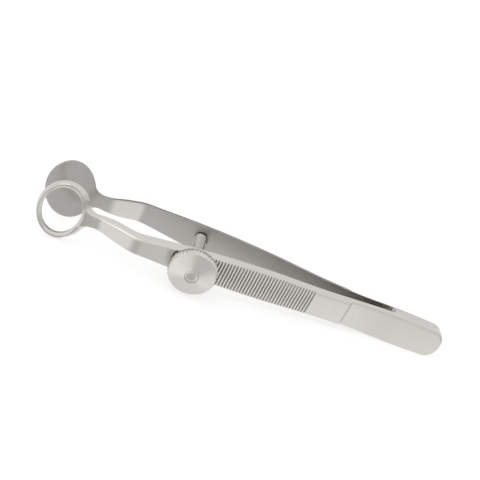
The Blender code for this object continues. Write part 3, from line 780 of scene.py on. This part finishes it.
THREAD_SIDES = 56
THREAD_ROWS = 10  # for each turn of the thread
DOME_ROWS = 11
THREAD_RUN_OUT = 0.5 * MM  # the thread fades before the dome, over this length
THREAD_RUN_IN = 0.4 * MM  # and before the plate arm, where the post is plain
PLAIN_END = 0.1 * MM  # the plain part starts this far inside the plate arm
HEAD_EDGE = 0.05 * MM  # rounding of the staked head's edge
# The valleys' painted shade stops short of the dome and the head by these margins.
DOME_MARGIN = 0.1 * MM  # no valley is coloured this close to the dome
HEAD_MARGIN = 0.05 * MM  # or this close to the head


def thread_surface(screw):
    """Post from its domed end to its staked head.

    The radius is the thread's outer radius less its depth times a tooth wave of distance over pitch
    plus angle over a full turn. The wave fades before the dome and before the plate arm, so that the
    post is plain in its hole. The dome is a quarter of an ellipse.
    """
    sizes = screw.sizes
    radius = sizes.diameter / 2
    top = screw.tip - SKIN
    head_top = screw.head + sizes.head_depth
    angle = np.linspace(0, 2 * math.pi, THREAD_SIDES + 1)[None, :-1]
    shank = np.arange(top - sizes.dome, head_top, -sizes.pitch / THREAD_ROWS)[:, None]
    wave = tooth(shank / sizes.pitch + angle / (2 * math.pi))
    fade = smooth(0, THREAD_RUN_OUT, top - sizes.dome - shank)
    fade = fade * smooth(0, THREAD_RUN_IN, shank - (screw.arm_face - PLAIN_END))
    body = screw.turned(radius - sizes.thread_depth * wave * fade, shank, angle)
    dome = np.linspace(0.0, math.pi / 2, DOME_ROWS + 1)[:-1, None]
    cap = screw.turned(radius * np.sin(dome), top - sizes.dome * (1 - np.cos(dome)), angle)
    low = screw.head + SKIN
    head = sizes.head_diameter / 2
    profile = np.array([(radius, head_top), (head - 2 * HEAD_EDGE, low + 2 * HEAD_EDGE),
                        (head, low + HEAD_EDGE), (head - HEAD_EDGE, low), (head / 2, low),
                        (0.0, low)])
    foot = screw.turned(profile[:, :1], profile[:, 1:], angle)
    return np.concatenate([cap, body, foot])


def thread_attributes(screw):
    """Share of the thread's depth at a point of the post, which sets the valleys' painted shade: 0 on
    the crests, the dome and the head.
    """
    sizes = screw.sizes

    def deep(points):
        places = points - screw.origin
        radius = np.hypot(places @ screw.along, places @ screw.up)
        distance = places @ screw.out
        threaded = ((distance < screw.tip - sizes.dome - DOME_MARGIN)
                    & (distance > screw.head + sizes.head_depth + HEAD_MARGIN))
        return np.clip((sizes.diameter / 2 - radius) / sizes.thread_depth, 0, 1) * threaded

    return {"groove": deep}


# The nut's fit, roundings and steps
BORE_FIT = 0.02 * MM  # gap between post and bore
BORE_SINK = 0.06 * MM  # small chamfer of the bore at the face
CHAMFER_EDGE = 0.12 * MM
RIM_EDGE = 0.15 * MM
HUB_EDGE = 0.10 * MM
NUT_MIN_STEP = 0.012 * MM  # points of the profile that are closer than this are left out
KNURL_COLUMNS = 12  # for each tooth
KNURL_SPAN = (1.6, 0.2)  # in knurl depths inside the rim: none at the first, full at the second


def nut_surface(screw):
    """Thumb nut as a ring closed both ways: a profile spun round the post's line.

    The face is a cone that rises to the bore. The rim's radius is lowered by the knurls' depth times
    a tooth wave round the nut, which fades over the chamfers.
    """
    sizes = screw.sizes
    rim = sizes.nut_diameter / 2
    hub = sizes.hub_diameter / 2
    bore = sizes.diameter / 2 + BORE_FIT
    back = screw.nut_back
    disc_back = back + sizes.hub_length
    face = disc_back + sizes.nut_rim
    top = face + sizes.nut_crown
    chamfer = sizes.nut_chamfer
    fall = sizes.nut_crown / (rim - chamfer - bore - BORE_SINK)
    # Two points of the cone close to its edge keep the shading of the cone straight
    cone = [(rim - chamfer - inset, face + inset * fall, 0) for inset in (0.30 * MM, 0.20 * MM)]
    profile = rounded_line([
        (bore, top - BORE_SINK, 0), (bore + BORE_SINK, top, BORE_SINK / 3), *cone,
        (rim - chamfer, face, CHAMFER_EDGE), (rim, face - chamfer, RIM_EDGE),
        (rim, disc_back + chamfer, RIM_EDGE), (rim - chamfer, disc_back, CHAMFER_EDGE),
        (hub, disc_back, CHAMFER_EDGE), (hub, back, HUB_EDGE), (bore, back, 0)])
    steps = np.hypot(*np.diff(profile, axis=0).T)
    profile = profile[np.concatenate([[True], steps > NUT_MIN_STEP])]
    angle = np.linspace(0, 2 * math.pi, sizes.teeth * KNURL_COLUMNS + 1)[None, :-1]
    radius, distance = profile[:, :1], profile[:, 1:]
    wave = tooth(angle * sizes.teeth / (2 * math.pi))
    share = smooth(rim - sizes.knurl_depth * KNURL_SPAN[0], rim - sizes.knurl_depth * KNURL_SPAN[1],
                   radius)
    grid = screw.turned(radius - sizes.knurl_depth * wave * share, distance, angle)
    return np.concatenate([grid, grid[:1]])


# Finishes

def hex_to_linear(text):
    """Linear RGBA of an sRGB hex value."""
    parts = [int(text[i:i + 2], 16) / 255 for i in (1, 3, 5)]
    return [c / 12.92 if c <= 0.04045 else ((c + 0.055) / 1.055) ** 2.4 for c in parts] + [1.0]


def add_node(tree, kind, inputs=None, **settings):
    """Add a node with its settings; an input is a value or another node's output."""
    node = tree.nodes.new(kind)
    for name, value in settings.items():
        setattr(node, name, value)
    for socket, value in (inputs or {}).items():
        if isinstance(value, bpy.types.NodeSocket):
            tree.links.new(value, node.inputs[socket])
        else:
            node.inputs[socket].default_value = value
    return node


def new_material(name):
    """Empty material with an output node, as (material, tree, output)."""
    material = bpy.data.materials.new(name)
    material.use_nodes = True
    tree = material.node_tree
    tree.nodes.clear()
    output = add_node(tree, "ShaderNodeOutputMaterial")
    return material, tree, output


def per_metre(millimetres):
    """Scale of a pattern whose features are some millimetres across."""
    return 1 / (millimetres * MM)


def satin_steel(name, colours):
    """Stainless steel forged, ground, satin brushed across the arm's width, and polished at the tip.

    The eye sees a soft grey mirror with faint streaks, blurred more in the grooves, whose bottoms are
    painted darker as shade, and a clearer one on ring and plate.
    """
    material, tree, output = new_material(name)
    place = add_node(tree, "ShaderNodeTexCoord").outputs["Object"]
    # Brush marks are about 0.02 mm wide; they are drawn 0.2 mm wide and 9 mm long to show at all.
    stretched = add_node(tree, "ShaderNodeMapping", {
        "Vector": place, "Scale": (per_metre(0.2), per_metre(0.2), per_metre(9.1))})
    streaks = add_node(tree, "ShaderNodeTexNoise", {
        "Vector": stretched.outputs[0], "Scale": 1.0, "Detail": 2.0, "Roughness": 0.6})
    # Hand polishing leaves patches about 4 mm across.
    patches = add_node(tree, "ShaderNodeTexNoise", {
        "Vector": place, "Scale": per_metre(3.85), "Detail": 2.0, "Roughness": 0.5})
    polish = add_node(tree, "ShaderNodeAttribute", attribute_name="polish")
    deep = add_node(tree, "ShaderNodeAttribute", attribute_name="groove")
    # Streaks, patches and grooves are rougher, and the polished tip is smoother.
    rough = 0.20
    for share, change in ((streaks.outputs[0], 0.16), (patches.outputs[0], 0.08),
                          (polish.outputs["Fac"], -0.10), (deep.outputs["Fac"], 0.15)):
        rough = add_node(tree, "ShaderNodeMath", {0: share, 1: change, 2: rough},
                         operation="MULTIPLY_ADD").outputs[0]
    # Painted shade: the bottom of each groove is mixed towards the darker groove colour.
    mix = add_node(tree, "ShaderNodeMix", {
        "Factor": deep.outputs["Fac"], "A": hex_to_linear(colours.steel),
        "B": hex_to_linear(colours.groove)}, data_type="RGBA")
    bump = add_node(tree, "ShaderNodeBump", {
        "Height": streaks.outputs[0], "Strength": 0.25, "Distance": 0.004 * MM})
    shader = add_node(tree, "ShaderNodeBsdfPrincipled", {
        "Base Color": mix.outputs["Result"], "Metallic": 1.0, "Roughness": rough,
        "Normal": bump.outputs[0]})
    tree.links.new(shader.outputs[0], output.inputs["Surface"])
    return material


def threaded_steel(colours):
    """Stainless steel rod with a cut thread: bright crests close together, with shade painted dark into
    the valleys.
    """
    material, tree, output = new_material("cut_thread_stainless_steel")
    place = add_node(tree, "ShaderNodeTexCoord").outputs["Object"]
    # The cutting tool leaves marks about 0.05 mm apart; they are drawn 0.4 mm apart to show at all.
    grain = add_node(tree, "ShaderNodeTexNoise", {
        "Vector": place, "Scale": per_metre(0.4), "Detail": 2.0})
    rough = add_node(tree, "ShaderNodeMath", {0: grain.outputs[0], 1: 0.2, 2: 0.16},
                     operation="MULTIPLY_ADD")
    deep = add_node(tree, "ShaderNodeAttribute", attribute_name="groove")
    # Painted shade: the valleys are mixed towards the dark valley colour by their depth.
    mix = add_node(tree, "ShaderNodeMix", {
        "Factor": deep.outputs["Fac"], "A": hex_to_linear(colours.steel),
        "B": hex_to_linear(colours.valley)}, data_type="RGBA")
    shader = add_node(tree, "ShaderNodeBsdfPrincipled", {
        "Base Color": mix.outputs["Result"], "Metallic": 1.0, "Roughness": rough.outputs[0]})
    tree.links.new(shader.outputs[0], output.inputs["Surface"])
    return material


def turned_steel(colours):
    """Stainless steel faced on a lathe: rings too fine to see, whose light gathers in two fans."""
    material, tree, output = new_material("lathe_turned_stainless_steel")
    tangent = add_node(tree, "ShaderNodeTangent", direction_type="UV_MAP", uv_map="turning")
    place = add_node(tree, "ShaderNodeUVMap", uv_map="turning")
    # Lathe rings are about 0.05 mm apart. To show at all, 20 are drawn from centre to rim, which is
    # 0.26 mm apart.
    stretched = add_node(tree, "ShaderNodeMapping", {
        "Vector": place.outputs[0], "Scale": (0.0, 20.0, 1.0)})
    rings = add_node(tree, "ShaderNodeTexNoise", {
        "Vector": stretched.outputs[0], "Scale": 1.0, "Detail": 2.0, "Roughness": 0.5})
    rough = add_node(tree, "ShaderNodeMath", {0: rings.outputs[0], 1: 0.06, 2: 0.20},
                     operation="MULTIPLY_ADD")
    shader = add_node(tree, "ShaderNodeBsdfPrincipled", {
        "Base Color": hex_to_linear(colours.steel), "Metallic": 1.0,
        "Roughness": rough.outputs[0], "Anisotropic": 0.35, "Tangent": tangent.outputs[0]})
    tree.links.new(shader.outputs[0], output.inputs["Surface"])
    return material


# Operators: one for each piece, and one for the stage

def sizes_of(context):
    """The property groups of the scene: arms, tips, screw and colours."""
    scene = context.scene
    return (scene.forceps_arms, scene.forceps_tips, scene.forceps_screw, scene.forceps_colours)


class FORCEPS_OT_plate_arm(Operator):
    """Build the arm that carries the solid oval plate"""
    bl_idname = "forceps.plate_arm"
    bl_label = "Plate arm"

    def execute(self, context):
        arm, tip, screw_sizes, colours = sizes_of(context)
        outline = Outline(arm, tip, LENGTH, tip.plate_width)
        shape = ArmShape(arm, tip.plate_thickness, tip.plate_rounding, tip.wall_slope, 0.0)
        strip = side_strip(outline, shape, 1)
        grids = [strip, mirrored(strip)] + face_strips(outline, shape, 1, slice(None))
        piece = solid("plate_arm_satin", grids, attributes=arm_attributes(shape, 1))
        screw = Screw(screw_sizes, arm, tip)
        cut(piece, post_hole_cutter(screw))
        cut(piece, post_seat_cutter(screw))
        piece.data.materials.append(satin_steel("satin_brushed_stainless_steel", colours))
        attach(piece, "plate_arm")
        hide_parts("plate_arm")
        return {"FINISHED"}


class FORCEPS_OT_ring_arm(Operator):
    """Build the arm that carries the open oval ring"""
    bl_idname = "forceps.ring_arm"
    bl_label = "Ring arm"

    def execute(self, context):
        arm, tip, screw_sizes, colours = sizes_of(context)
        outline = Outline(arm, tip, REACH, tip.ring_width)
        shape = ArmShape(arm, tip.ring_thickness, tip.ring_rounding, tip.wall_slope,
                         tip.neck_slope)
        strip = side_strip(outline, shape, -1)
        grids = [strip, mirrored(strip)]
        grids += face_strips(outline, shape, -1, slice(0, outline.neck_row + 1))
        grids += ring_web(outline, shape, tip, -1)
        piece = solid("ring_arm_satin", grids, attributes=arm_attributes(shape, -1))
        cut(piece, slot_cutter(Screw(screw_sizes, arm, tip), arm))
        piece.data.materials.append(satin_steel("satin_brushed_stainless_steel_ring", colours))
        start = in_frame(arm.weld_end, 0, 0, -1)
        end = in_frame(2 * arm.bending_line - arm.weld_end, 0, 0, -1)
        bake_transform(piece)
        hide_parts("ring_arm")
        return {"FINISHED"}


class FORCEPS_OT_threaded_post(Operator):
    """Build the threaded post with its domed end and staked head"""
    bl_idname = "forceps.threaded_post"
    bl_label = "Threaded post"

    def execute(self, context):
        arm, tip, screw_sizes, colours = sizes_of(context)
        screw = Screw(screw_sizes, arm, tip)
        piece = solid("threaded_post_cut", [thread_surface(screw)], around=True,
                      attributes=thread_attributes(screw), keep_angle=THREAD_SHARP_ANGLE)
        piece.data.materials.append(threaded_steel(colours))
        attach(piece, "plate_arm")
        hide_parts("threaded_post")
        return {"FINISHED"}


class FORCEPS_OT_thumb_nut(Operator):
    """Build the knurled thumb nut with its turned face"""
    bl_idname = "forceps.thumb_nut"
    bl_label = "Thumb nut"

    def execute(self, context):
        arm, tip, screw_sizes, colours = sizes_of(context)
        screw = Screw(screw_sizes, arm, tip)
        piece = solid("thumb_nut_turned", [nut_surface(screw)], around=True)
        add_turning_map(piece, screw)
        piece.data.materials.append(turned_steel(colours))
        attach(piece, "thumb_nut")
        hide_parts("thumb_nut")
        return {"FINISHED"}


def add_turning_map(piece, screw):
    """UV map whose u is the angle round the post's line, in turns, and whose v is the radius."""
    mesh = piece.data
    places = np.empty(len(mesh.vertices) * 3)
    mesh.vertices.foreach_get("co", places)
    places = places.reshape(-1, 3) - screw.origin
    corners = np.empty(len(mesh.loops), dtype=np.int32)
    mesh.loops.foreach_get("vertex_index", corners)
    totals = np.empty(len(mesh.polygons), dtype=np.int32)
    mesh.polygons.foreach_get("loop_total", totals)
    owner = np.repeat(np.arange(len(totals)), totals)
    x, z = (places @ screw.along)[corners], (places @ screw.up)[corners]
    turns = np.arctan2(z, x) / (2 * math.pi)
    first = turns[np.concatenate([[0], np.cumsum(totals)[:-1]])][owner]
    turns = turns - np.round(turns - first)
    radius = np.hypot(x, z) / (screw.sizes.nut_diameter / 2)
    layer = mesh.uv_layers.new(name="turning")
    layer.data.foreach_set("uv", np.column_stack([turns, radius]).ravel().astype(np.float32))


CAMERA_PLACE = (-37.25 * MM, -147.67 * MM, 97.50 * MM)
CAMERA_FORWARD = (0.1981, 0.8380, -0.5085)
CAMERA_UP = (-0.3551, 0.5449, 0.7596)
CAMERA_LENS = 61.5
CAMERA_SHIFT = (-0.0040, 0.0564)

# The forceps stands on plate and ring at one x, and on the lower edge of its tail at (x, height)
TIP_CONTACT_X = -41.7 * MM
TAIL_CONTACT = (37.05 * MM, 3.04 * MM)
FLOOR_GAP = 0.02 * MM
FLOOR_REACH = 1.5
GLOW_STRENGTH = 1.12
GLOW_SHARE = 0.6  # of the floor's white

LAMP_PLACE = np.array([-0.25, -0.10, 0.45])
LAMP_SIZE = 0.35
LAMP_POWER = 0.45


class FORCEPS_OT_stage(Operator):
    """Build floor, light, background and camera"""
    bl_idname = "forceps.stage"
    bl_label = "Stage"

    def execute(self, context):
        make_floor(context.scene.forceps_colours)
        make_world(context.scene)
        make_lamps(context.scene)
        make_camera(context.scene)
        return {"FINISHED"}


def make_floor(colours):
    """Plain floor under the forceps: its height is a slope times the distance from the tips' contact.

    It is a sheet of matt white paper on a light table, so part of its white is its own glow. Metal
    doesn't see it, and from below it is clear.
    """
    reach = np.linspace(-FLOOR_REACH, FLOOR_REACH, 5)
    x, y = np.meshgrid(reach, reach, indexing="ij")
    slope = TAIL_CONTACT[1] / (TAIL_CONTACT[0] - TIP_CONTACT_X)
    grid = np.stack([x, y, (x - TIP_CONTACT_X) * slope - FLOOR_GAP], axis=-1)
    mesh = bpy.data.meshes.new("studio_floor")
    mesh.from_pydata(grid.reshape(-1, 3), [], grid_faces(len(reach), len(reach)))
    floor = bpy.data.objects.new("studio_floor", mesh)
    bpy.context.scene.collection.objects.link(floor)
    material, tree, output = new_material("matt_white_paper")
    paper = add_node(tree, "ShaderNodeBsdfDiffuse", {"Color": hex_to_linear(colours.floor)})
    glow = add_node(tree, "ShaderNodeEmission", {"Strength": GLOW_STRENGTH})
    lit = add_node(tree, "ShaderNodeMixShader", {
        0: GLOW_SHARE, 1: paper.outputs[0], 2: glow.outputs[0]})
    clear = add_node(tree, "ShaderNodeBsdfTransparent")
    light = add_node(tree, "ShaderNodeLightPath")
    below = add_node(tree, "ShaderNodeNewGeometry")
    hidden = add_node(tree, "ShaderNodeMath", {
        0: light.outputs["Is Glossy Ray"], 1: below.outputs["Backfacing"]}, operation="MAXIMUM")
    mix = add_node(tree, "ShaderNodeMixShader", {
        0: hidden.outputs[0], 1: lit.outputs[0], 2: clear.outputs[0]})
    tree.links.new(mix.outputs[0], output.inputs["Surface"])
    mesh.materials.append(material)


def make_world(scene):
    """White background, and for metal a light tent round the forceps.

    Towards the camera, below the forceps, the tent is grey in the middle and bright to both sides.
    Level with the forceps it is bright on the left and grey on the right. Roof and table are light.
    Behind the forceps there is a dark opening at its height, over a table in the shade.
    """
    world = bpy.data.worlds.new("light_tent")
    world.use_nodes = True
    scene.world = world
    tree = world.node_tree
    tree.nodes.clear()
    output = add_node(tree, "ShaderNodeOutputWorld")
    direction = add_node(tree, "ShaderNodeTexCoord").outputs["Generated"]
    x, y, z = add_node(tree, "ShaderNodeSeparateXYZ", {0: direction}).outputs
    aside = add_node(tree, "ShaderNodeMath", {0: x}, operation="ABSOLUTE").outputs[0]
    near_opening, near_table = (
        add_node(tree, "ShaderNodeVectorMath", {0: direction, 1: middle},
                 operation="DOT_PRODUCT").outputs["Value"]
        for middle in ((0.05, 0.98, 0.05), (0.05, 0.84, -0.54)))

    # Each tone or share goes from one value to another while a measure goes from low to high.
    tones = {}
    for name, measure, low, high, first, last in (
            ("walls", aside, 0.20, 0.43, 0.60, 1.36), ("ends", aside, 0.42, 0.66, 1.0, 0.76),
            ("level", x, -0.25, 0.0, 1.15, 0.74), ("opening", near_opening, 0.84, 0.97, 1.05, 0.25),
            ("shade", near_table, 0.90, 0.99, 1.0, 0.5), ("to_level", z, -0.40, -0.12, 0.0, 1.0),
            ("to_roof", z, 0.14, 0.44, 0.0, 1.0), ("to_table", z, -0.84, -0.66, 1.0, 0.0),
            ("to_back", y, -0.25, 0.25, 0.0, 1.0)):
        tones[name] = add_node(tree, "ShaderNodeMapRange", {
            "Value": measure, "From Min": low, "From Max": high, "To Min": first, "To Max": last},
            interpolation_type="SMOOTHSTEP").outputs[0]
    below, behind = (
        add_node(tree, "ShaderNodeMath", {0: tones[first], 1: tones[second]},
                 operation="MULTIPLY").outputs[0]
        for first, second in (("walls", "ends"), ("opening", "shade")))

    tent = below
    for share, other in ((tones["to_level"], tones["level"]), (tones["to_roof"], 1.05),
                         (tones["to_table"], 1.0), (tones["to_back"], behind)):
        tent = add_node(tree, "ShaderNodeMix", {"Factor": share, "A": tent, "B": other},
                        data_type="FLOAT").outputs["Result"]
    # Only metal sees the tent, and the camera sees plain white.
    light = add_node(tree, "ShaderNodeLightPath").outputs
    seen = add_node(tree, "ShaderNodeMix", {"Factor": light["Is Glossy Ray"], "A": 0.95, "B": tent},
                    data_type="FLOAT")
    plain = add_node(tree, "ShaderNodeMix", {"Factor": light["Is Camera Ray"],
                                             "A": seen.outputs["Result"], "B": 1.0},
                     data_type="FLOAT")
    shader = add_node(tree, "ShaderNodeBackground", {
        "Color": (1.0, 1.0, 1.0, 1.0), "Strength": plain.outputs["Result"]})
    tree.links.new(shader.outputs[0], output.inputs["Surface"])
    world.cycles.sampling_method = "NONE"


def make_lamps(scene):
    """One broad lamp above and to the left, for a soft shadow."""
    lamp = bpy.data.lights.new("softbox", "AREA")
    lamp.shape = "SQUARE"
    lamp.size = LAMP_SIZE
    lamp.energy = LAMP_POWER
    box = bpy.data.objects.new("softbox", lamp)
    scene.collection.objects.link(box)
    set_pose(box, LAMP_PLACE, -LAMP_PLACE, (0.0, 1.0, 0.0))


def set_pose(obj, place, forward, up):
    """Turn an object so that its -z looks forward and its y is as close to up as it can be."""
    forward = Vector(forward).normalized()
    right = forward.cross(Vector(up)).normalized()
    turned_up = right.cross(forward)
    turn = Matrix((right, turned_up, -forward)).transposed()
    obj.matrix_world = Matrix.Translation(Vector(place)) @ turn.to_4x4()


def make_camera(scene):
    """Camera at the photograph's viewing angle and distance."""
    data = bpy.data.cameras.new("photo_camera")
    data.lens = CAMERA_LENS
    data.shift_x, data.shift_y = CAMERA_SHIFT
    data.clip_start = 0.01
    data.clip_end = 10.0
    camera = bpy.data.objects.new("photo_camera", data)
    scene.collection.objects.link(camera)
    set_pose(camera, CAMERA_PLACE, CAMERA_FORWARD, CAMERA_UP)
    scene.camera = camera
    scene.view_settings.view_transform = "Standard"


class FORCEPS_PT_panel(Panel):
    """Sidebar panel that lists the builders and the sizes"""
    bl_idname = "FORCEPS_PT_panel"
    bl_label = "Chalazion forceps"
    bl_space_type = "VIEW_3D"
    bl_region_type = "UI"
    bl_category = "Forceps"

    def draw(self, context):
        layout = self.layout
        for operator in OPERATORS:
            layout.operator(operator.bl_idname)
        for group in sizes_of(context):
            box = layout.box()
            for name in group.bl_rna.properties.keys():
                if name not in ("rna_type", "name"):
                    box.prop(group, name)


GROUPS = {"forceps_arms": ForcepsArmSizes, "forceps_tips": ForcepsTipSizes,
          "forceps_screw": ForcepsScrewSizes, "forceps_colours": ForcepsColours}
OPERATORS = (FORCEPS_OT_plate_arm, FORCEPS_OT_ring_arm, FORCEPS_OT_threaded_post,
             FORCEPS_OT_thumb_nut, FORCEPS_OT_stage)


def register():
    """Register the classes and hang the sizes on the scene."""
    for item in (*GROUPS.values(), *OPERATORS, FORCEPS_PT_panel):
        bpy.utils.register_class(item)
    for name, group in GROUPS.items():
        setattr(bpy.types.Scene, name, PointerProperty(type=group))


def unregister():
    """Undo register."""
    for name in GROUPS:
        delattr(bpy.types.Scene, name)
    for item in reversed((*GROUPS.values(), *OPERATORS, FORCEPS_PT_panel)):
        bpy.utils.unregister_class(item)


def main():
    """Build every piece and the stage."""
    register()
    bpy.ops.forceps.plate_arm()
    bpy.ops.forceps.ring_arm()
    bpy.ops.forceps.threaded_post()
    bpy.ops.forceps.thumb_nut()
    bpy.ops.forceps.stage()


if __name__ == "__main__":
    main()
